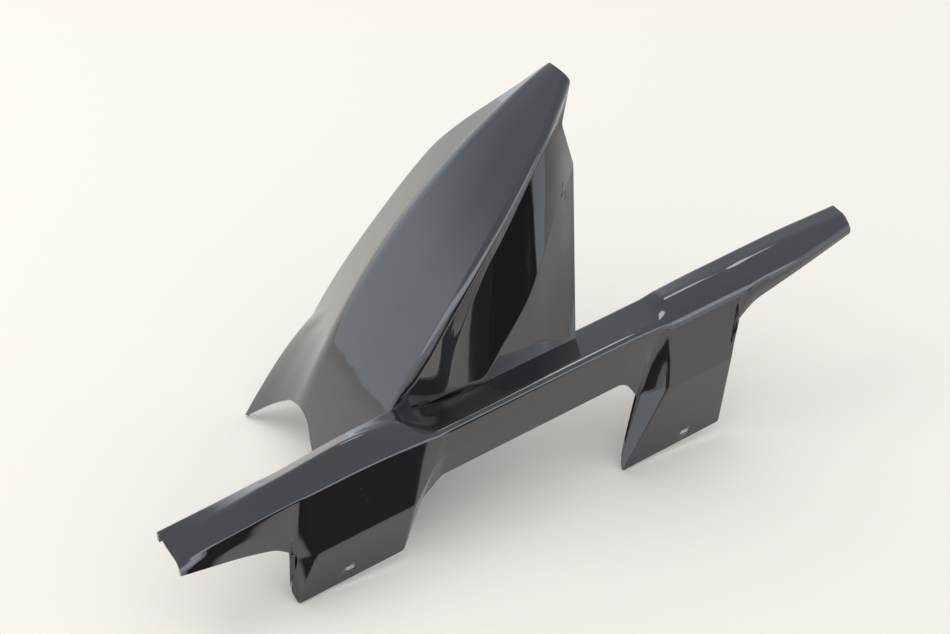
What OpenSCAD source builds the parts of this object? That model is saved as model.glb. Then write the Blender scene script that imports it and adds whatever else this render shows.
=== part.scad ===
// Rear hugger mudguard: a swingarm cover with two side tabs, and an arch over the rear tyre,
// moulded as one thin shell. It is modelled as it lies on a flat surface, on the two tabs and
// on the front tip of the arch. X runs rearwards along the bar, -Y is the outer side, +Z is up.

/* [Shell] */
// Thickness of the moulded wall
wall = 3; // [2.5:0.1:4]
// Size of the soft rounding along the creases
crease_r = 4; // [2:0.5:6]

/* [Bar] */
// Front end of the bar, ahead of the front tab
front_reach = 85; // [60:1:110]
// Rear end of the bar, behind the front tab's front corner
rear_reach = 528; // [500:1:560]
// Width across the bar, from the outer face to the inner edge
bar_w = 38; // [34:1:44]
// How far the tab panels stand out from the bar's outer face
tab_step = 12; // [8:1:16]
// Height of the outer face between the tabs
face_h = 38; // [30:1:42]
// Depth of the bar's inner wall beside the tyre
inner_wall_h = 26; // [20:1:30]
// Depth of the inner wall along the two arms
arm_wall_h = 9; // [6:1:12]

/* [Tabs] */
// Drop from the bar's crease to the lower edge of the front tab
front_drop = 82; // [70:1:95]
// Length of the front tab along its lower edge
front_tab_l = 90; // [75:1:100]
// Drop from the bar's crease to the lower edge of the rear tab
rear_drop = 116; // [105:1:130]
// Length of the rear tab along its lower edge
rear_tab_l = 94; // [80:1:100]
// Distance between the front corners of the two tabs
tab_pitch = 290; // [270:1:310]
// Height of the fold in the front tab, above its lower edge
front_fold = 35; // [28:1:42]
// Height of the fold in the rear tab, above its lower edge
rear_fold = 58; // [48:1:66]

/* [Slots] */
// Length of each slot, end to end
slot_l = 10; // [8:0.5:14]
// Width of each slot
slot_w = 4.5; // [4:0.1:6]
// Height of the slots above the surface the part lies on
slot_z = 14; // [12:1:18]
// Distance between the two slots
slot_pitch = 307; // [300:1:314]
// Position of the front slot behind the front tab's front corner
slot_x = 44; // [36:1:52]

/* [Arch] */
// Outer radius of the arch
arch_r = 470; // [455:1:485]
// Position of the arch's centre behind the front tab's front corner
arch_x = 525; // [515:1:535]
// Depth of the arch's centre below the surface the part lies on
arch_sink = 116; // [108:1:124]
// Angle of the arch's rear tip, up from the horizontal
tip_high = 62; // [59:0.5:64]
// Angle of the front edge at the far crease, where the shock absorber needs most room
cut_high = 20.8; // [19:0.1:22]
// Angle of the front edge behind the bar
cut_low = 16.5; // [15:0.1:17]
// Width of the roof where it leaves the bar
roof_w = 97; // [85:1:110]
// Width of the sloping far flank
flank_w = 50; // [40:1:60]
// Slope of the far flank
flank_slope = 25; // [20:1:30]
// Depth of the rim turned down along the far flank
rim_h = 16; // [10:1:20]

/* [Hidden] */

face_y = tab_step;
inner_y = face_y + bar_w;
crease_y = face_y + 2;
ridge_y = face_y + 0.6 * bar_w;

// The bar climbs rearwards, because the rear tab is the deeper one and both stand level.
bar_rise = (rear_drop - front_drop) / tab_pitch;
function crease_z(x) = front_drop + bar_rise * x;

// Soft creases: each inner corner of a line gives way to three points of a small curve.
function toward(p, q, r) = p + (q - p) * min(r / max(norm(q - p), 0.001), 0.4);
function soft_corner(a, p, b, r) =
    let (u = toward(p, a, r), v = toward(p, b, r)) [u, (u + 2 * p + v) / 4, v];
function soft_line(line, r) = [
    line[0],
    for (i = [1:len(line) - 2]) each soft_corner(line[i - 1], line[i], line[i + 1], r),
    line[len(line) - 1]
];
function turned(grid) = [for (j = [0:len(grid[0]) - 1]) [for (row = grid) row[j]]];
function soft_grid(grid, r) = turned([for (line = turned([for (row = grid) soft_line(row, r)]))
    soft_line(line, r)]);

// Unit normal of a grid of points at one point, on the hidden side of the moulding.
function grid_normal(g, i, j) =
    let (a = g[min(i + 1, len(g) - 1)][j] - g[max(i - 1, 0)][j],
         b = g[i][min(j + 1, len(g[0]) - 1)] - g[i][max(j - 1, 0)],
         n = cross(a, b))
    n / norm(n);

// A shell of even thickness on a grid of points, closed along its four edges.
module shell(grid, t) {
    n = len(grid);
    m = len(grid[0]);
    outer = [for (row = grid) each row];
    inner = [for (i = [0:n - 1]) for (j = [0:m - 1]) grid[i][j] + t * grid_normal(grid, i, j)];
    k = n * m;
    rim = concat(
        [for (j = [0:m - 1]) j],
        [for (i = [1:n - 1]) i * m + m - 1],
        [for (j = [m - 2:-1:0]) (n - 1) * m + j],
        [for (i = [n - 2:-1:1]) i * m]);
    faces = concat(
        [for (i = [0:n - 2]) for (j = [0:m - 2]) let (p = i * m + j)
            each [[p, p + m + 1, p + 1], [p, p + m, p + m + 1]]],
        [for (i = [0:n - 2]) for (j = [0:m - 2]) let (p = k + i * m + j)
            each [[p, p + 1, p + m + 1], [p, p + m + 1, p + m]]],
        [for (e = [0:len(rim) - 1]) let (p = rim[e], q = rim[(e + 1) % len(rim)])
            each [[p, q, k + q], [p, k + q, k + p]]]);
    polyhedron(points = concat(outer, inner), faces = faces);
}

// One cross section of the bar: inner wall, inner edge, ridge, crease, fold, lower edge.
// Heights are measured from the bar's crease line, x is given for the top, fold and lower edge.
function section(x, inner, wall_h, ridge, crease, fold, low) = [
    [x[0], inner_y, crease_z(x[0]) + inner - wall_h],
    [x[0], inner_y, crease_z(x[0]) + inner],
    [x[0], ridge_y, crease_z(x[0]) + ridge],
    [x[1], crease[0], crease_z(x[1]) + crease[1]],
    [x[2], fold[0], crease_z(x[2]) + fold[1]],
    [x[3], low[0], crease_z(x[3]) + low[1]]
];

// The foot of a tab panel, straight along the bar.
front_low = -front_drop;
rear_low = -rear_drop;
front_mid = front_fold - front_drop;
rear_mid = rear_fold - rear_drop;

function bar_sections() = [
    // Front arm, from its thin end to the tab
    section([-front_reach, -front_reach, -front_reach, -front_reach],
        1, arm_wall_h, -4, [face_y + 8, -6], [face_y + 3, -10], [face_y, -14]),
    section([-39, -39, -39, -39],
        1.5, arm_wall_h, 4, [crease_y, -1], [face_y, -12], [face_y, -24]),
    section([-12, -12, -12, -10],
        2, arm_wall_h, 8, [crease_y, 0], [face_y, -17], [face_y, -33]),
    // Front tab, with its front wall
    section([0, 0, 0, 2],
        2, arm_wall_h, 9, [crease_y, 0], [face_y, -22], [face_y, -43]),
    section([10, 10, 5, -1],
        2, arm_wall_h, 9.5, [crease_y, 0], [face_y, front_mid], [face_y - 3, 6 - front_drop]),
    section([20, 20, 16, 0],
        2.5, arm_wall_h, 10.5, [crease_y, 0], [0, front_mid], [0, front_low]),
    section([0.75 * front_tab_l, 0.75 * front_tab_l, 0.67 * front_tab_l, 0.6 * front_tab_l],
        7, inner_wall_h, 14.5, [crease_y, 0], [0, front_mid], [0, front_low]),
    section([front_tab_l + 22, front_tab_l + 28, front_tab_l + 10, front_tab_l],
        8, inner_wall_h, 6, [crease_y, -2], [0, front_mid], [0, front_low]),
    // Step down to the plain stretch between the tabs
    section([front_tab_l + 38, front_tab_l + 41, front_tab_l + 32, front_tab_l + 20],
        2.5, inner_wall_h, -1, [crease_y, -3], [face_y - 4, -26], [face_y - 6, -face_h - 10]),
    section([front_tab_l + 46, front_tab_l + 49, front_tab_l + 44, front_tab_l + 41],
        1.5, inner_wall_h, -2.5, [crease_y, -3], [face_y, -22], [face_y, -face_h - 3]),
    section([front_tab_l + 120, front_tab_l + 120, front_tab_l + 120, front_tab_l + 120],
        -2, inner_wall_h, -2.5, [crease_y, -3], [face_y, -22], [face_y, -face_h - 3]),
    section([tab_pitch + 6, tab_pitch + 12, tab_pitch + 12, tab_pitch + 8],
        -2.5, inner_wall_h, -2.5, [crease_y, -3], [face_y, -24], [face_y, -face_h - 3]),
    // Rear tab, with its front wall
    section([tab_pitch + 30, tab_pitch + 30, tab_pitch + 27, tab_pitch + 20],
        -2.5, arm_wall_h, -3, [crease_y, -4], [face_y, -36], [face_y, -face_h - 22]),
    section([tab_pitch + 48, tab_pitch + 42, tab_pitch + 23, tab_pitch + 2],
        -2.5, arm_wall_h, -3, [crease_y, -5], [face_y, rear_mid], [face_y - 7, 5 - rear_drop]),
    section([tab_pitch + 58, tab_pitch + 54, tab_pitch + 41, tab_pitch],
        -1, arm_wall_h, 1, [crease_y + 1, -7], [0, rear_mid], [0, rear_low]),
    section([tab_pitch + 90, tab_pitch + 88, tab_pitch + 72, tab_pitch + 0.5 * rear_tab_l],
        0, arm_wall_h, 1, [crease_y + 1, -7], [0, rear_mid], [0, rear_low]),
    section([tab_pitch + 120, tab_pitch + 119, tab_pitch + 103, tab_pitch + rear_tab_l],
        0, arm_wall_h, 0, [crease_y + 1, -7], [0, rear_mid], [0, rear_low]),
    section([tab_pitch + 128, tab_pitch + 126, tab_pitch + 114, tab_pitch + 106],
        0, arm_wall_h, 0, [crease_y + 1, -7], [face_y - 7, -30], [face_y - 8, rear_mid + 8]),
    // Rear arm, from the tab to its narrow end
    section([tab_pitch + 138, tab_pitch + 136, tab_pitch + 134, tab_pitch + 131],
        0, arm_wall_h, -0.5, [crease_y + 1, -7], [face_y, -16], [face_y, -24]),
    section([tab_pitch + 180, tab_pitch + 180, tab_pitch + 180, tab_pitch + 180],
        0, arm_wall_h, -2.5, [crease_y + 3, -7], [face_y + 2, -12], [face_y + 2, -17]),
    section([rear_reach, rear_reach, rear_reach, rear_reach],
        -3, arm_wall_h, -5, [crease_y + 14, -9], [face_y + 13, -13], [face_y + 13, -17])
];

module bar() {
    shell(soft_grid(bar_sections(), crease_r), wall);
}

// A point of the arch: angle up from the horizontal, place across, depth inside the roof.
function arch_point(angle, y, depth) = [
    arch_x - (arch_r - depth) * cos(angle), y, (arch_r - depth) * sin(angle) - arch_sink];

function blend(a, b, s) = a + (b - a) * s;
function ramp(x, from, to) = min(max((x - from) / (to - from), 0), 1);
function smooth(x, from, to) = let (s = ramp(x, from, to)) s * s * (3 - 2 * s);

// The roof narrows towards the rear tip, mostly from the near side.
near_y = inner_y - 2;
function near_edge(angle) =
    near_y - 3 * ramp(angle, 29, 34) + 0.1 * pow(max(angle - 37, 0), 2) + 5 * ramp(angle, 57, 62);
function far_edge(angle) = inner_y + roof_w + 0.38 * (27 - angle);

// The far flank spreads and flattens towards the front tip, and fades out at the rear tip.
tip_flank_w = 1.4 * flank_w;
tip_slope = 2;
tip_lip = 1.5;
function flank_at(angle) =
    blend(tip_flank_w, flank_w, smooth(angle, 21, 43)) * (1 - 0.94 * smooth(angle, 48, tip_high));

// The front tip stands on the same surface as the tabs.
tip_low = asin(arch_sink / (arch_r - tip_flank_w * tan(tip_slope) - tip_lip - 2 * wall));
function flank_fall(angle) = flank_at(angle) * tan(blend(tip_slope, flank_slope, ramp(angle, tip_low, 27)));
function lip_depth(angle) = min(
    blend(tip_lip, rim_h, ramp(angle, tip_low, tip_low + 10)),
    rim_h * blend(0.15, 1, flank_at(angle) / tip_flank_w));

// Angle of the front edge, cut back in one curve round the shock absorber: 0 at the far tip,
// 1 at the far crease and 2 at the near edge.
function cut_angle(t) = t < 1
    ? blend(tip_low, cut_high, sin(90 * t))
    : blend(cut_high, cut_low, smooth(t, 1.06, 1.5));

function flank_point(s, t) =
    let (angle = blend(cut_angle(t), tip_high - 1 + t, s))
    arch_point(angle, far_edge(angle) + flank_at(angle) * (1 - t), flank_fall(angle) * (1 - t));
function lip_point(s) =
    let (angle = blend(tip_low, tip_high - 1, s))
    arch_point(angle, far_edge(angle) + flank_at(angle) + 2, flank_fall(angle) + lip_depth(angle));
function roof_point(s, t) =
    let (angle = blend(cut_angle(1 + t), tip_high, s))
    arch_point(angle, blend(far_edge(angle), near_edge(angle), t), -sin(180 * t));

// Angle at which the roof's near edge comes up to the top of the bar
bar_top_angle = 27;
fin_x = arch_x - arch_r * cos(bar_top_angle);
tip_x = arch_x - arch_r * cos(tip_high);
tip_z = arch_r * sin(tip_high) - arch_sink;

// Feet of the side wall on the bar: share of the way back to the rear tip, place across from
// the bar's inner edge, height from the bar's crease.
foot_line = [[0.05, -2, 1], [0.11, -2, -1], [0.23, -2, -3],
    [0.4, -9, -5], [0.61, -9, -5], [0.83, -10, -5]];
// Crease of the side wall: share of the way back, place across, share of the height to the tip.
fold_line = [[0.03, -2, 0.035], [0.12, -1.5, 0.1], [0.25, -1, 0.09],
    [0.47, -2, 0.055], [0.76, 21, 0.19], [0.99, 45, 0.62]];
// Corner of the rear edge, between the tip and the side wall's own tip
rear_corner = [tip_x - 15, inner_y + 43, tip_z - 29];

stations = 28;
function along(line, s) =
    let (f = s * (len(line) - 1), i = min(floor(f), len(line) - 2))
    line[i] + (line[i + 1] - line[i]) * (f - i);

// Side wall beside the tyre: a narrow flange on the bar's inner wall in front, then the fin.
function chamfer_point(angle) =
    let (q = ramp(angle, bar_top_angle, bar_top_angle + 4))
    arch_point(angle, near_edge(angle) - 4 * q, 4 + q);
function flange_points(angle) =
    concat([chamfer_point(angle)], [for (depth = [7, 10, 13]) arch_point(angle, near_y, depth)]);
function foot_point(f) =
    let (x = blend(fin_x, tip_x, f[0])) [x, inner_y + f[1], crease_z(x) + f[2]];
function fold_point(f) =
    let (x = blend(fin_x, tip_x, f[0])) [x, inner_y + f[1], blend(crease_z(x), tip_z, f[2])];
function fin_points(angle, s) =
    let (foot = foot_point(along(foot_line, s)), fold = fold_point(along(fold_line, s)))
    [
        blend(chamfer_point(angle), rear_corner, pow(s, 6)),
        fold,
        (fold + foot) / 2 - [8 * pow(s, 3), 0, 0],
        foot
    ];

// One row of the arch, from the turned-down rim to the foot of the side wall.
function arch_row(s) =
    let (near = blend(cut_low, tip_high, s),
         start = (bar_top_angle - cut_low) / (tip_high - cut_low))
    concat(
        [lip_point(s)],
        [for (t = [0, 0.35, 0.7, 1]) flank_point(s, t)],
        [for (t = [0.15, 0.3, 0.5, 1]) roof_point(s, t)],
        s < start ? flange_points(near) : fin_points(near, (s - start) / (1 - start)));

module arch() {
    shell([for (i = [0:stations]) soft_line(arch_row(i / stations), crease_r)], wall);
}

// A slot through a tab panel, with round ends.
module slot(x) {
    for (side = [-1, 1])
        translate([x + side * (slot_l - slot_w) / 2, -1, slot_z])
            rotate([-90, 0, 0])
                cylinder(h = wall + 2, d = slot_w, $fn = 48);
    translate([x - (slot_l - slot_w) / 2, -1, slot_z - slot_w / 2])
        cube([slot_l - slot_w, wall + 2, slot_w]);
}

// The origin is under the middle of the part.
part_x = (rear_reach - front_reach) / 2;
part_y = (far_edge(tip_low) + tip_flank_w + 2) / 2;

module mudguard() {
    color([0.02, 0.02, 0.022])
    translate([-part_x, -part_y, 0])
    difference() {
        // The bar and the arch are one moulding.
        resize([0, 0, 0])
            union() {
                bar();
                arch();
            }
        for (i = [0, 1])
            slot(slot_x + i * slot_pitch);
    }
}

mudguard();
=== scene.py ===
"""Rear hugger mudguard in gloss black moulded plastic, on a pale table in a soft light tent."""

import math

import bmesh
import bpy
import numpy as np
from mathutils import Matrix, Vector


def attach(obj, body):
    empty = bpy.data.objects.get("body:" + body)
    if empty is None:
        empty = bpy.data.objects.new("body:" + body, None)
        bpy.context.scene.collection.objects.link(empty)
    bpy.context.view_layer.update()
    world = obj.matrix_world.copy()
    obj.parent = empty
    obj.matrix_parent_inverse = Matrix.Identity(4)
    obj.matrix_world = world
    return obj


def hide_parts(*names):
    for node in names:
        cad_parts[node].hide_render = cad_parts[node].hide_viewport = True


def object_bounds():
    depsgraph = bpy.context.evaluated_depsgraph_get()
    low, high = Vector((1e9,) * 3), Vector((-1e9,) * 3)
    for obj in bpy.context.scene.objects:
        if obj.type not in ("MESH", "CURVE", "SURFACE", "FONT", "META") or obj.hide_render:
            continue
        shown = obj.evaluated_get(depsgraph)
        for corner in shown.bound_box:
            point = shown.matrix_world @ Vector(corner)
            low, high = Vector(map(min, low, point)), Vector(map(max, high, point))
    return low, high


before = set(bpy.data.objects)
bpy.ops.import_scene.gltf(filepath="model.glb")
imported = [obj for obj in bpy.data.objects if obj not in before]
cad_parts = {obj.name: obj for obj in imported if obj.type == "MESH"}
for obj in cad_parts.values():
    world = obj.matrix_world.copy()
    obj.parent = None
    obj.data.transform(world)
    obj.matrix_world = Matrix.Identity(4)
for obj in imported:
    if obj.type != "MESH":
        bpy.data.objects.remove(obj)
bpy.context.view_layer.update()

# Sizes of the moulding in millimetres, from the front tab's front lower corner. Angles are in degrees.
MM_PER_M = 1000.0
WALL, RIM_EASE = 3.0, 1.1
FRONT_REACH, REAR_REACH, BAR_W = 85.0, 528.0, 38.0
FACE_Y, FACE_H = 12.0, 38.0
INNER_Y = FACE_Y + BAR_W
CREASE_Y, RIDGE_Y = FACE_Y + 2, FACE_Y + 0.6 * BAR_W
INNER_WALL, ARM_WALL = 26.0, 9.0
FRONT_DROP, FRONT_TAB, FRONT_FOLD = 82.0, 90.0, 35.0
REAR_DROP, REAR_TAB, REAR_FOLD = 116.0, 94.0, 58.0
PITCH = 290.0
SLOT_L, SLOT_W, SLOT_Z, SLOT_X, SLOT_PITCH = 10.0, 4.5, 14.0, 44.0, 307.0
ARCH_R, ARCH_X, ARCH_SINK = 470.0, 525.0, 116.0
TIP_HIGH, CUT_HIGH, CUT_LOW = 62.0, 20.8, 16.5
ROOF_W, FLANK_W, FLANK_SLOPE, RIM_H = 97.0, 50.0, 25.0, 16.0
TIP_FLANK_W, TIP_SLOPE, TIP_LIP = 1.4 * FLANK_W, 2.0, 1.5
LIP_FLARE, LIP_RUN, LIP_LEAST, FAR_TAPER = 2.0, 10.0, 0.15, 0.38
NEAR_Y, NEAR_STEP, NEAR_SWEEP, NEAR_TIP = INNER_Y - 2, 3.0, 0.1, 5.0
CHAMFER_W, CHAMFER_RUN = 4.0, 4.0
FLANGE_DEPTHS = (7, 10, 13)
# Angles at which the arch's lines change. At the first its near edge stands clear of the bar.
BAR_TOP = 27.0
STEP_FROM, STEP_TO, SWEEP_FROM, NEAR_TIP_FROM = 29.0, 34.0, 37.0, 57.0
NARROW_FROM, NARROW_TO, FADE_FROM, FLANK_FADE = 21.0, 43.0, 48.0, 0.94
# Where the front edge turns from the far crease to the near edge, in cut_angle's own steps.
CUT_TURN = (1.06, 1.5)

# How finely the skins are divided: points on a soft corner, points between corners, rows of the arch.
ARC_POINTS = 5
BAR_SPAN, BAR_CROSS_SPAN, ARCH_SPAN = 3, 4, 2
ARCH_ROWS = 112
SLOT_POINTS = 48


def blend(a, b, s):
    return a + (b - a) * s


def ramp(x, start, end):
    return min(max((x - start) / (end - start), 0.0), 1.0)


def smooth(x, start, end):
    s = ramp(x, start, end)
    return s * s * (3 - 2 * s)


def sin(angle):
    return math.sin(math.radians(angle))


def cos(angle):
    return math.cos(math.radians(angle))


def tan(angle):
    return math.tan(math.radians(angle))


# The bar: one cross section of six points at each place along it.
def crease_z(x):
    return FRONT_DROP + (REAR_DROP - FRONT_DROP) / PITCH * x


def section(at, ahead, inner, wall_h, ridge, crease, fold, low):
    """Points from the inner wall's foot to the outer lower edge, with heights from the bar's crease."""
    top, mid, bend, foot = (at + step for step in ahead)
    return [
        (top, INNER_Y, crease_z(top) + inner - wall_h),
        (top, INNER_Y, crease_z(top) + inner),
        (top, RIDGE_Y, crease_z(top) + ridge),
        (mid, crease[0], crease_z(mid) + crease[1]),
        (bend, fold[0], crease_z(bend) + fold[1]),
        (foot, low[0], crease_z(foot) + low[1]),
    ]


# A section square across the bar: none of its points stands ahead of its place.
SQUARE = (0, 0, 0, 0)
tab_end, rear_tab, face, crease = FRONT_TAB, PITCH, FACE_Y, CREASE_Y
front_mid, rear_mid = FRONT_FOLD - FRONT_DROP, REAR_FOLD - REAR_DROP
front_low, rear_low, face_low = -FRONT_DROP, -REAR_DROP, -FACE_H - 3
# Each place ends with the radius that softens the bar lengthwise there.
BAR_PLACES = [
    (section(-FRONT_REACH, SQUARE, 1, ARM_WALL, -4, (face + 8, -6), (face + 3, -10), (face, -14)), 0),
    (section(-39, SQUARE, 1.5, ARM_WALL, 4, (crease, -1), (face, -12), (face, -24)), 16),
    (section(-12, (0, 0, 0, 2), 2, ARM_WALL, 8, (crease, 0), (face, -17), (face, -33)), 8),
    (section(0, (0, 0, 0, 2), 2, ARM_WALL, 9, (crease, 0), (face, -22), (face, -43)), 2.5),
    (section(0, (10, 10, 5, -1),
             2, ARM_WALL, 9.5, (crease, 0), (face, front_mid), (face - 3, front_low + 6)), 2.5),
    (section(0, (20, 20, 16, 0),
             2.5, ARM_WALL, 10.5, (crease, 0), (0, front_mid), (0, front_low)), 2.5),
    (section(0, (0.75 * tab_end, 0.75 * tab_end, 0.67 * tab_end, 0.6 * tab_end),
             7, INNER_WALL, 14.5, (crease, 0), (0, front_mid), (0, front_low)), 16),
    (section(tab_end, (22, 28, 10, 0),
             8, INNER_WALL, 6, (crease, -2), (0, front_mid), (0, front_low)), 3),
    (section(tab_end, (38, 41, 32, 20),
             2.5, INNER_WALL, -1, (crease, -3), (face - 4, -26), (face - 6, face_low - 7)), 3.5),
    (section(tab_end, (46, 49, 44, 41),
             1.5, INNER_WALL, -2.5, (crease, -3), (face, -22), (face, face_low)), 4),
    (section(tab_end + 120, SQUARE,
             -2, INNER_WALL, -2.5, (crease, -3), (face, -22), (face, face_low)), 30),
    (section(rear_tab, (6, 12, 12, 8),
             -2.5, INNER_WALL, -2.5, (crease, -3), (face, -24), (face, face_low)), 8),
    (section(rear_tab, (30, 30, 27, 20),
             -2.5, ARM_WALL, -3, (crease, -4), (face, -36), (face, face_low - 19)), 3),
    (section(rear_tab, (48, 42, 23, 2),
             -2.5, ARM_WALL, -3, (crease, -5), (face, rear_mid), (face - 7, rear_low + 5)), 2.5),
    (section(rear_tab, (58, 54, 41, 0),
             -1, ARM_WALL, 1, (crease + 1, -7), (0, rear_mid), (0, rear_low)), 2.5),
    (section(rear_tab, (90, 88, 72, 0.5 * REAR_TAB),
             0, ARM_WALL, 1, (crease + 1, -7), (0, rear_mid), (0, rear_low)), 16),
    (section(rear_tab, (120, 119, 103, REAR_TAB),
             0, ARM_WALL, 0, (crease + 1, -7), (0, rear_mid), (0, rear_low)), 2.5),
    (section(rear_tab, (128, 126, 116, 110),
             0, ARM_WALL, 0, (crease + 1, -7), (face - 1, -22), (face - 4, -34)), 3),
    (section(rear_tab, (138, 136, 134, 131),
             0, ARM_WALL, 0.5, (crease + 1, -7), (face, -16), (face, -24)), 8),
    (section(rear_tab + 180, SQUARE,
             0, ARM_WALL, 0.3, (crease + 3, -7), (face + 2, -12), (face + 2, -17)), 30),
    (section(REAR_REACH, SQUARE,
             -3, ARM_WALL, -4, (crease + 14, -9), (face + 13, -13), (face + 13, -17)), 0),
]
# Radii across the bar at the inner edge, the ridge and the outer fold.
INNER_SOFT, RIDGE_SOFT, FOLD_SOFT = 2.5, 3.0, 2.5
# The crease is sharp on the front tab and grows softer towards the rear one.
CREASE_PLACES = (tab_end, tab_end + 50, rear_tab + 20, rear_tab + 60)
CREASE_SOFT = (2.0, 5.0, 5.0, 8.0)


# The arch: its lines run from the front edge back to the rear tip.
def arch_point(angle, y, depth):
    radius = ARCH_R - depth
    return np.array([ARCH_X - radius * cos(angle), y, radius * sin(angle) - ARCH_SINK])


# The angle at which the far tip stands on the ground.
TIP_LOW = math.degrees(math.asin(
    ARCH_SINK / (ARCH_R - TIP_FLANK_W * tan(TIP_SLOPE) - TIP_LIP - 2 * WALL)))
# Feet of the fin on the bar, by the place along the bar: across, and height from the bar's crease.
FOOT_X = (116, 130, 143, 157, 171, 188, 204, 221, 238, 254, 270)
FOOT_ACROSS = (-2, -2, -2, -3, -6, -9, -9, -9, -9, -9.5, -10)
FOOT_HEIGHT = (0, -1, -2, -3, -4, -5, -5, -5, -5, -5, -5)
FIN_FEET = np.array((FOOT_X, FOOT_ACROSS, FOOT_HEIGHT), float).T
# Two creases of the fin, in the same eleven steps from its foot in front to the rear edge.
STRIP_CREASE = np.array([
    (113, 49, 98), (133, 46.5, 101), (152, 43, 108), (166, 50, 136), (181, 57, 157), (203, 65, 187),
    (221, 70.5, 206), (237, 76, 224), (256, 83, 245), (275, 89, 264), (289, 93, 270)], float)
FIN_CREASE = np.array([
    (114, 48.5, 97), (135, 45.5, 99), (154, 42.5, 102), (163, 42, 103), (174, 41.5, 104), (187, 41, 106),
    (203.6, 43.7, 125), (223.5, 48, 146), (245, 55.3, 174), (275, 75, 213), (302, 95, 230)], float)
# Parts of the way across the far flank and across the roof at which the skin has a line.
FLANK_LINES = (0, 0.35, 0.7, 1)
ROOF_LINES = (0.15, 0.3, 0.5, 1)
# Radii across the arch, from the lip over the flank, the roof and the chamfer to the fin's foot.
ARCH_SOFT = (0, 3, 12, 12, 9, 12, 12, 16, 2.5, 2.5, 4, 2.5, 0)


def near_edge(angle):
    """The edge steps out over the bar, then sweeps away from it, a little further at the rear tip."""
    stepped = NEAR_Y - NEAR_STEP * ramp(angle, STEP_FROM, STEP_TO)
    swept = NEAR_SWEEP * max(angle - SWEEP_FROM, 0) ** 2
    return stepped + swept + NEAR_TIP * ramp(angle, NEAR_TIP_FROM, TIP_HIGH)


def far_edge(angle):
    return INNER_Y + ROOF_W + FAR_TAPER * (BAR_TOP - angle)


def flank_at(angle):
    """The far flank is widest at the front tip and fades out towards the rear one."""
    width = blend(TIP_FLANK_W, FLANK_W, smooth(angle, NARROW_FROM, NARROW_TO))
    return width * (1 - FLANK_FADE * smooth(angle, FADE_FROM, TIP_HIGH))


def flank_fall(angle):
    return flank_at(angle) * tan(blend(TIP_SLOPE, FLANK_SLOPE, ramp(angle, TIP_LOW, BAR_TOP)))


def lip_depth(angle):
    return min(blend(TIP_LIP, RIM_H, ramp(angle, TIP_LOW, TIP_LOW + LIP_RUN)),
               RIM_H * blend(LIP_LEAST, 1, flank_at(angle) / TIP_FLANK_W))


def cut_angle(t):
    """Angle of the front edge: t is 0 at the far tip, 1 at the far crease, 2 at the near edge."""
    if t < 1:
        return blend(TIP_LOW, CUT_HIGH, sin(90 * t))
    return blend(CUT_HIGH, CUT_LOW, smooth(t, *CUT_TURN))


def flank_point(s, t):
    angle = blend(cut_angle(t), TIP_HIGH - 1 + t, s)
    return arch_point(angle, far_edge(angle) + flank_at(angle) * (1 - t), flank_fall(angle) * (1 - t))


def lip_point(s):
    angle = blend(TIP_LOW, TIP_HIGH - 1, s)
    across = far_edge(angle) + flank_at(angle) + LIP_FLARE
    return arch_point(angle, across, flank_fall(angle) + lip_depth(angle))


def roof_point(s, t):
    angle = blend(cut_angle(1 + t), TIP_HIGH, s)
    return arch_point(angle, blend(far_edge(angle), near_edge(angle), t), -sin(180 * t))


def chamfer_point(angle):
    grown = ramp(angle, BAR_TOP, BAR_TOP + CHAMFER_RUN)
    return arch_point(angle, near_edge(angle) - CHAMFER_W * grown, CHAMFER_W + grown)


def along(line, s):
    """A smooth curve through the points of a line."""
    f = s * (len(line) - 1)
    i = min(int(f), len(line) - 2)
    t = f - i
    a, b = line[i], line[i + 1]
    before = line[i - 1] if i > 0 else 2 * a - b
    after = line[i + 2] if i + 2 < len(line) else 2 * b - a
    return 0.5 * (2 * a + (b - before) * t + (2 * before - 5 * a + 4 * b - after) * t * t
                  + (3 * a - before - 3 * b + after) * t ** 3)


def side_points(s, angle):
    """Four points below the roof's near edge: a flange in front, then the fin."""
    start = (BAR_TOP - CUT_LOW) / (TIP_HIGH - CUT_LOW)
    if s < start:
        return [chamfer_point(angle)] + [arch_point(angle, NEAR_Y, depth) for depth in FLANGE_DEPTHS]
    q = (s - start) / (1 - start)
    x, across, height = along(FIN_FEET, q)
    foot = np.array([x, INNER_Y + across, crease_z(x) + height])
    return [chamfer_point(angle), along(STRIP_CREASE, q), along(FIN_CREASE, q), foot]


def arch_row(s):
    return ([lip_point(s)] + [flank_point(s, t) for t in FLANK_LINES]
            + [roof_point(s, t) for t in ROOF_LINES] + side_points(s, blend(CUT_LOW, TIP_HIGH, s)))


# The skins: grids of points, softened at their corners, then given a wall.
def soften(lines, radii, span):
    """Rounds the corners along the first axis, and adds points on the straight stretches."""
    out = [lines[0]]
    last = lines[0]

    def straight(a, b):
        for k in range(1, span + 1):
            out.append(a + (b - a) * (k / (span + 1)))

    for i in range(1, len(lines) - 1):
        p = lines[i]
        to_a, to_b = lines[i - 1] - p, lines[i + 1] - p
        len_a = np.maximum(np.linalg.norm(to_a, axis=-1, keepdims=True), 1e-3)
        len_b = np.maximum(np.linalg.norm(to_b, axis=-1, keepdims=True), 1e-3)
        r = np.minimum(radii[i], 0.42 * np.minimum(len_a, len_b))
        u, v = p + to_a / len_a * r, p + to_b / len_b * r
        straight(last, u)
        for k in range(ARC_POINTS):
            t = k / (ARC_POINTS - 1)
            out.append((1 - t) ** 2 * u + 2 * t * (1 - t) * p + t * t * v)
        last = v
    straight(last, lines[-1])
    out.append(lines[-1])
    return np.array(out)


def soften_across(grid, radii, span):
    return soften(grid.swapaxes(0, 1), radii, span).swapaxes(0, 1)


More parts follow.
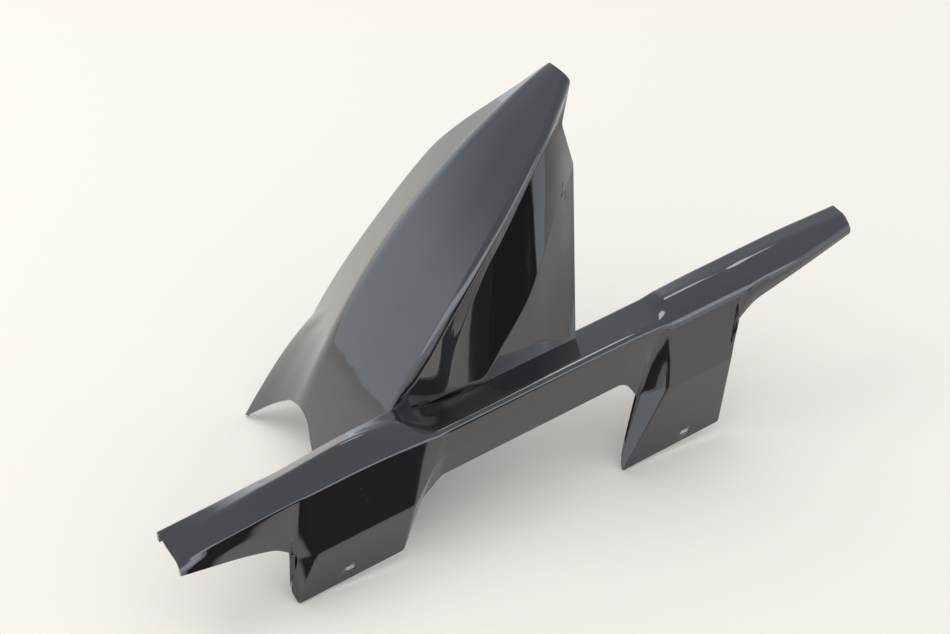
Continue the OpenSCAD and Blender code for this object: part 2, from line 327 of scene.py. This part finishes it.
def bar_grid():
    rows = np.array([row for row, _ in BAR_PLACES], float)
    grid = soften(rows, [radius for _, radius in BAR_PLACES], BAR_SPAN)
    crease_soft = np.interp(grid[:, 3, 0], CREASE_PLACES, CREASE_SOFT)[:, None]
    return soften_across(grid, (0, INNER_SOFT, RIDGE_SOFT, crease_soft, FOLD_SOFT, 0), BAR_CROSS_SPAN)


def arch_grid():
    rows = np.array([arch_row(i / ARCH_ROWS) for i in range(ARCH_ROWS + 1)])
    return soften_across(rows, ARCH_SOFT, ARCH_SPAN)


# The part's own frame has its origin on the ground under the middle of the footprint.
ORIGIN = np.array([(REAR_REACH - FRONT_REACH) / 2, (far_edge(TIP_LOW) + TIP_FLANK_W + LIP_FLARE) / 2, 0.0])


def placed(points):
    return [tuple(p) for p in (np.array(points) - ORIGIN) / MM_PER_M]


def add_piece(name, mesh):
    piece = bpy.data.objects.new(name, mesh)
    bpy.context.scene.collection.objects.link(piece)
    return piece


def inward_normals(grid):
    """Unit normals on the hidden side of the moulding."""
    normal = np.cross(np.gradient(grid, axis=0), np.gradient(grid, axis=1))
    return normal / np.maximum(np.linalg.norm(normal, axis=-1, keepdims=True), 1e-9)


def shell(name, grid):
    """A closed shell of even thickness on a grid of points, with slightly eased rims."""
    n, m = grid.shape[:2]
    inside = grid + WALL * inward_normals(grid)
    half = n * m
    faces = []
    for i in range(n - 1):
        for j in range(m - 1):
            p = i * m + j
            faces.append((p, p + 1, p + m + 1, p + m))
            faces.append((half + p, half + p + m, half + p + m + 1, half + p + 1))
    rim = list(range(m))
    rim += [i * m + m - 1 for i in range(1, n)]
    rim += [(n - 1) * m + j for j in range(m - 2, -1, -1)]
    rim += [i * m for i in range(n - 2, 0, -1)]
    rim_edges = set()
    for p, q in zip(rim, rim[1:] + rim[:1]):
        faces.append((p, half + p, half + q, q))
        rim_edges.update({frozenset((p, q)), frozenset((half + p, half + q))})
    mesh = bpy.data.meshes.new(name)
    mesh.from_pydata(placed(np.concatenate([grid.reshape(-1, 3), inside.reshape(-1, 3)])), [], faces)
    mesh.validate()
    weights = mesh.attributes.new("bevel_weight_edge", "FLOAT", "EDGE")
    for line in mesh.edges:
        if frozenset(line.vertices) in rim_edges:
            weights.data[line.index].value = 1.0
    mesh.shade_smooth()
    piece = add_piece(name, mesh)
    ease = piece.modifiers.new("eased_rims", "BEVEL")
    ease.width = RIM_EASE / MM_PER_M
    ease.segments = 3
    ease.limit_method = "WEIGHT"
    return piece


def slot_cutter(x):
    """A bar with round ends that reaches 1 mm past both sides of a tab's lower panel."""
    radius = SLOT_W / 2
    n = SLOT_POINTS
    ring = []
    for k in range(n):
        angle = 2 * math.pi * (k + 0.5) / n
        side = SLOT_L / 2 - radius if math.cos(angle) > 0 else radius - SLOT_L / 2
        ring.append((x + side + radius * math.cos(angle), SLOT_Z + radius * math.sin(angle)))
    points = [(px, y, pz) for y in (-1.0, WALL + 1.0) for px, pz in ring]
    faces = [tuple(range(n)), tuple(range(2 * n - 1, n - 1, -1))]
    faces += [(k, k + n, (k + 1) % n + n, (k + 1) % n) for k in range(n)]
    mesh = bpy.data.meshes.new("slot_cutter")
    mesh.from_pydata(placed(points), [], faces)
    return add_piece("slot_cutter", mesh)


def cut_slots(piece, cutters):
    for cutter in cutters:
        cut = piece.modifiers.new("slot", "BOOLEAN")
        cut.operation = "DIFFERENCE"
        cut.object = cutter
        cut.solver = "EXACT"


def apply_modifiers(piece):
    done = bpy.data.meshes.new_from_object(piece.evaluated_get(bpy.context.evaluated_depsgraph_get()))
    piece.modifiers.clear()
    piece.data = done


def join_meshes(piece, other):
    """Adds the other piece's mesh to the first one's."""
    whole = bmesh.new()
    whole.from_mesh(piece.data)
    whole.from_mesh(other.data)
    whole.to_mesh(piece.data)
    whole.free()


def hugger_shell():
    """The arch grows out of the bar: their walls overlap in one mesh."""
    bar = shell("swingarm_cover", bar_grid())
    arch = shell("tyre_arch", arch_grid())
    cutters = [slot_cutter(SLOT_X + k * SLOT_PITCH) for k in (0, 1)]
    cut_slots(bar, cutters)
    apply_modifiers(bar)
    apply_modifiers(arch)
    join_meshes(bar, arch)
    for spare in cutters + [arch]:
        bpy.data.objects.remove(spare)
    bar.name = "hugger_shell"
    bar.data.shade_smooth()
    even = bar.modifiers.new("even_shading", "WEIGHTED_NORMAL")
    even.mode = "FACE_AREA"
    even.weight = 60
    even.keep_sharp = True
    return bar


# Shader nodes: every helper adds its nodes to the tree that it is given.
def put(tree, socket, value):
    """Links a socket to another one, or gives it a plain value."""
    if isinstance(value, bpy.types.NodeSocket):
        tree.links.new(value, socket)
    else:
        socket.default_value = value


def calc(tree, operation, a, b):
    node = tree.nodes.new("ShaderNodeMath")
    node.operation = operation
    put(tree, node.inputs[0], a)
    put(tree, node.inputs[1], b)
    return node.outputs[0]


def times(tree, *factors):
    product = factors[0]
    for factor in factors[1:]:
        product = calc(tree, "MULTIPLY", product, factor)
    return product


def rise(tree, value, low, high, start=0.0, end=1.0):
    """Runs smoothly from start to end while the value runs from low to high."""
    node = tree.nodes.new("ShaderNodeMapRange")
    node.interpolation_type = "SMOOTHSTEP"
    sockets = ("Value", "From Min", "From Max", "To Min", "To Max")
    for name, number in zip(sockets, (value, low, high, start, end)):
        put(tree, node.inputs[name], number)
    return node.outputs["Result"]


def fall(tree, value, low, high):
    return rise(tree, value, low, high, 1.0, 0.0)


def noise(tree, place, scale, detail):
    node = tree.nodes.new("ShaderNodeTexNoise")
    for name, value in (("Vector", place), ("Scale", scale), ("Detail", detail)):
        put(tree, node.inputs[name], value)
    return node.outputs["Fac"]


def reach(tree, vector, direction):
    """How far a vector goes in a direction."""
    node = tree.nodes.new("ShaderNodeVectorMath")
    node.operation = "DOT_PRODUCT"
    put(tree, node.inputs[0], vector)
    put(tree, node.inputs[1], direction)
    return node.outputs["Value"]


def mixed(tree, factor, a, b):
    node = tree.nodes.new("ShaderNodeMix")
    node.data_type = "RGBA"
    for name, value in (("Factor", factor), ("A", a), ("B", b)):
        put(tree, node.inputs[name], value)
    return node.outputs["Result"]


def new_material(name):
    material = bpy.data.materials.new(name)
    material.use_nodes = True
    tree = material.node_tree
    tree.nodes.clear()
    output = tree.nodes.new("ShaderNodeOutputMaterial")
    shader = tree.nodes.new("ShaderNodeBsdfPrincipled")
    tree.links.new(shader.outputs["BSDF"], output.inputs["Surface"])
    return material, tree, shader


# The plastic. Each noise has its scale, in cycles to the metre, and its detail.
BLACK, WORN_BLACK = (0.010, 0.010, 0.012, 1.0), (0.060, 0.060, 0.064, 1.0)
GLOSS, DULL = 0.035, 0.10
PEEL, WAVES, WAVE_SHARE = (230.0, 2.0), (28.0, 1.0), 3.0
PEEL_DEPTH, PEEL_STRENGTH = 0.00012, 0.10
CLOUDS, HANDLED, PATCHES, SPECKS = (14.0, 4.0), (9.0, 2.0), (60.0, 3.0), (700.0, 0.0)
HAIRS, HAIR_TURN, HAIR_STRETCH = (1.0, 1.0), (0.4, 0.2, 0.5), (40.0, 900.0, 900.0)
SCRATCH_ROUGHNESS, DUST_SHARE = 0.12, 0.5
# The values between which each of them comes to show.
HAIRS_SHOW, HANDLED_SHOWS, CLOUDS_SHOW = (0.70, 0.76), (0.52, 0.66), (0.3, 0.75)
EDGES_SHOW, PATCHES_SHOW, SPECKS_SHOW = (0.515, 0.56), (0.4, 0.7), (0.82, 0.86)


def gloss_moulding():
    """Orange peel, fine scratches, dust and edge wear of a gloss moulding, as values and a normal."""
    group = bpy.data.node_groups.new("gloss_moulding", "ShaderNodeTree")
    for name in ("Roughness", "Wear", "Dust"):
        group.interface.new_socket(name, in_out="OUTPUT", socket_type="NodeSocketFloat")
    group.interface.new_socket("Normal", in_out="OUTPUT", socket_type="NodeSocketVector")
    place = group.nodes.new("ShaderNodeTexCoord").outputs["Object"]

    waves = times(group, noise(group, place, *WAVES), WAVE_SHARE)
    bump = group.nodes.new("ShaderNodeBump")
    put(group, bump.inputs["Strength"], PEEL_STRENGTH)
    put(group, bump.inputs["Distance"], PEEL_DEPTH)
    put(group, bump.inputs["Height"], calc(group, "ADD", waves, noise(group, place, *PEEL)))

    turn = group.nodes.new("ShaderNodeMapping")
    put(group, turn.inputs["Vector"], place)
    put(group, turn.inputs["Rotation"], HAIR_TURN)
    put(group, turn.inputs["Scale"], HAIR_STRETCH)
    hairs = rise(group, noise(group, turn.outputs["Vector"], *HAIRS), *HAIRS_SHOW)
    handled = rise(group, noise(group, place, *HANDLED), *HANDLED_SHOWS)
    scratches = times(group, hairs, handled, SCRATCH_ROUGHNESS)
    cloudy = rise(group, noise(group, place, *CLOUDS), *CLOUDS_SHOW, GLOSS, DULL)

    pointed = group.nodes.new("ShaderNodeNewGeometry").outputs["Pointiness"]
    edges = rise(group, pointed, *EDGES_SHOW)
    patchy = rise(group, noise(group, place, *PATCHES), *PATCHES_SHOW)
    specks = rise(group, noise(group, place, *SPECKS), *SPECKS_SHOW, 0.0, DUST_SHARE)

    result = group.nodes.new("NodeGroupOutput")
    put(group, result.inputs["Roughness"], calc(group, "ADD", cloudy, scratches))
    put(group, result.inputs["Wear"], times(group, edges, patchy))
    put(group, result.inputs["Dust"], specks)
    put(group, result.inputs["Normal"], bump.outputs["Normal"])
    return group


def gloss_black_plastic():
    material, tree, shader = new_material("gloss_black_plastic")
    surface = tree.nodes.new("ShaderNodeGroup")
    surface.node_tree = gloss_moulding()
    worn = calc(tree, "MAXIMUM", surface.outputs["Wear"], surface.outputs["Dust"])
    put(tree, shader.inputs["Base Color"], mixed(tree, worn, BLACK, WORN_BLACK))
    put(tree, shader.inputs["Roughness"], surface.outputs["Roughness"])
    put(tree, shader.inputs["Normal"], surface.outputs["Normal"])
    put(tree, shader.inputs["IOR"], 1.6)
    put(tree, shader.inputs["Coat Weight"], 1.0)
    put(tree, shader.inputs["Coat Roughness"], 0.02)
    return material


mudguard = hugger_shell()
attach(mudguard, "root")
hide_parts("mudguard")
mudguard.data.materials.clear()
mudguard.data.materials.append(gloss_black_plastic())

# The camera stands in front of the outer side and looks down at the part.
FACING, TILT = math.radians(57.59), math.radians(55.0)
AWAY = (math.cos(FACING), math.sin(FACING), 0.0)
CAMERA_AT = Vector((-0.58064, -1.15535, 1.15779)) - Vector(ORIGIN / MM_PER_M)
camera = add_piece("camera", bpy.data.cameras.new("camera"))
camera.data.sensor_width = 36.0
camera.data.sensor_fit = "HORIZONTAL"
camera.data.lens = 88.79
camera.data.clip_end = 50.0
camera.location = CAMERA_AT
camera.rotation_euler = (TILT, 0.0, FACING - math.pi / 2)
bpy.context.scene.camera = camera

# The table. Glossy rays see it end at its front edge, where the dark room before the tent begins: beyond
# it they see the table painted dark, a painted shade of the unlit room.
# Distances are in metres: the edge from the front tab's corner, the room's sides from the origin.
TABLE_REACH = 8.0
TABLE_EDGE, EDGE_BLUR = -0.10, 0.02
ROOM_SIDE = math.radians(25.8)
ROOM_RIGHT, ROOM_LEFT = (-0.18, -0.14), (-0.50, -0.40)
# The second colour is painted shade: the unlit room's darkness, put on the table for glossy rays only.
TABLE_COLOUR, PAINTED_ROOM_SHADE = (0.82, 0.805, 0.785, 1.0), (0.035, 0.022, 0.015, 1.0)


def pale_table():
    material, tree, shader = new_material("pale_table")
    put(tree, shader.inputs["Roughness"], 0.9)
    put(tree, shader.inputs["Specular IOR Level"], 0.1)
    place = tree.nodes.new("ShaderNodeNewGeometry").outputs["Position"]
    split = tree.nodes.new("ShaderNodeSeparateXYZ")
    put(tree, split.inputs["Vector"], place)
    edge_at = TABLE_EDGE - float(ORIGIN @ np.array(AWAY)) / MM_PER_M
    beyond = fall(tree, reach(tree, place, AWAY), edge_at - EDGE_BLUR, edge_at + EDGE_BLUR)
    beside = fall(tree, reach(tree, place, (math.cos(ROOM_SIDE), math.sin(ROOM_SIDE), 0.0)), *ROOM_RIGHT)
    glossy = tree.nodes.new("ShaderNodeLightPath").outputs["Is Glossy Ray"]
    # Painted shade: beyond the edge, glossy rays see the table in the unlit room's dark colour.
    shaded_room = times(tree, beyond, beside, rise(tree, split.outputs["X"], *ROOM_LEFT), glossy)
    put(tree, shader.inputs["Base Color"], mixed(tree, shaded_room, TABLE_COLOUR, PAINTED_ROOM_SHADE))
    return material


corners = [(-1, -1), (1, -1), (1, 1), (-1, 1)]
table_mesh = bpy.data.meshes.new("table")
table_mesh.from_pydata([(x * TABLE_REACH, y * TABLE_REACH, 0) for x, y in corners], [], [(0, 1, 2, 3)])
table_mesh.materials.append(pale_table())
table = add_piece("table", table_mesh)
table.location.z = min(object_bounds()[0][2], 0.0)

# The light tent: pale all round, open on the camera's side to a dark room. Over the opening it has a
# bright hem, and a round lamp shows through its roof. Glossy rays see these, all others an even light.
TENT_LIGHT = (1.0, 0.985, 0.96, 1.0)
WALL_LOW, WALL_HIGH = (1.12, 1.20, 1.32, 1.0), (0.60, 0.64, 0.71, 1.0)
HEM_LIGHT, LAMP_LIGHT = (2.2, 2.35, 2.6, 1.0), (4.0, 3.9, 3.7, 1.0)
ROOM_DARK = (0.030, 0.022, 0.017, 1.0)
LAMP_TOWARD = Vector((0.27, 0.33, 0.90)).normalized()
# Where each blend starts and ends, as parts of a unit direction: up, along x, to the camera or the lamp.
WALL_SHADE, LAMP_RIM = (0.30, 0.62), (0.988, 0.994)
HEM_FOOT, HEM_HEAD, HEM_SIDE = (0.22, 0.34), (0.50, 0.62), (0.28, 0.38)
OPENING_SIDE, OPENING_HEAD, OPENING_LEFT = (0.54, 0.59), (0.13, 0.19), (-0.42, -0.32)


def light_tent():
    world = bpy.data.worlds.new("light_tent")
    world.use_nodes = True
    tree = world.node_tree
    tree.nodes.clear()
    direction = tree.nodes.new("ShaderNodeTexCoord").outputs["Generated"]
    split = tree.nodes.new("ShaderNodeSeparateXYZ")
    put(tree, split.inputs["Vector"], direction)
    along_x, up = split.outputs["X"], split.outputs["Z"]
    toward = reach(tree, direction, tuple(-part for part in AWAY))

    walls = mixed(tree, rise(tree, up, *WALL_SHADE), WALL_LOW, WALL_HIGH)
    hem = times(tree, rise(tree, up, *HEM_FOOT), fall(tree, up, *HEM_HEAD), rise(tree, toward, *HEM_SIDE))
    walls = mixed(tree, hem, walls, HEM_LIGHT)
    round_lamp = rise(tree, reach(tree, direction, LAMP_TOWARD), *LAMP_RIM)
    walls = mixed(tree, round_lamp, walls, LAMP_LIGHT)
    shaded_room = times(tree, rise(tree, toward, *OPENING_SIDE), fall(tree, up, *OPENING_HEAD),
                 rise(tree, along_x, *OPENING_LEFT))
    walls = mixed(tree, shaded_room, walls, ROOM_DARK)

    glossy = tree.nodes.new("ShaderNodeLightPath").outputs["Is Glossy Ray"]
    background = tree.nodes.new("ShaderNodeBackground")
    put(tree, background.inputs["Color"], mixed(tree, glossy, TENT_LIGHT, walls))
    put(tree, background.inputs["Strength"], 1.0)
    output = tree.nodes.new("ShaderNodeOutputWorld")
    tree.links.new(background.outputs["Background"], output.inputs["Surface"])
    return world


bpy.context.scene.world = light_tent()

# A wide lamp over the tent, which the plastic doesn't mirror.
lamp_data = bpy.data.lights.new("tent_lamp", "AREA")
lamp_data.shape = "RECTANGLE"
lamp_data.size, lamp_data.size_y = 1.6, 1.2
lamp_data.energy = 14.0
lamp_data.color = (1.0, 0.97, 0.93)
lamp = add_piece("tent_lamp", lamp_data)
lamp.location = (-0.9, 0.9, 2.2)
lamp.rotation_euler = (Vector((0, 0, 0.1)) - Vector(lamp.location)).to_track_quat("-Z", "Y").to_euler()
lamp.visible_glossy = False

bpy.context.scene.view_settings.view_transform = "Standard"
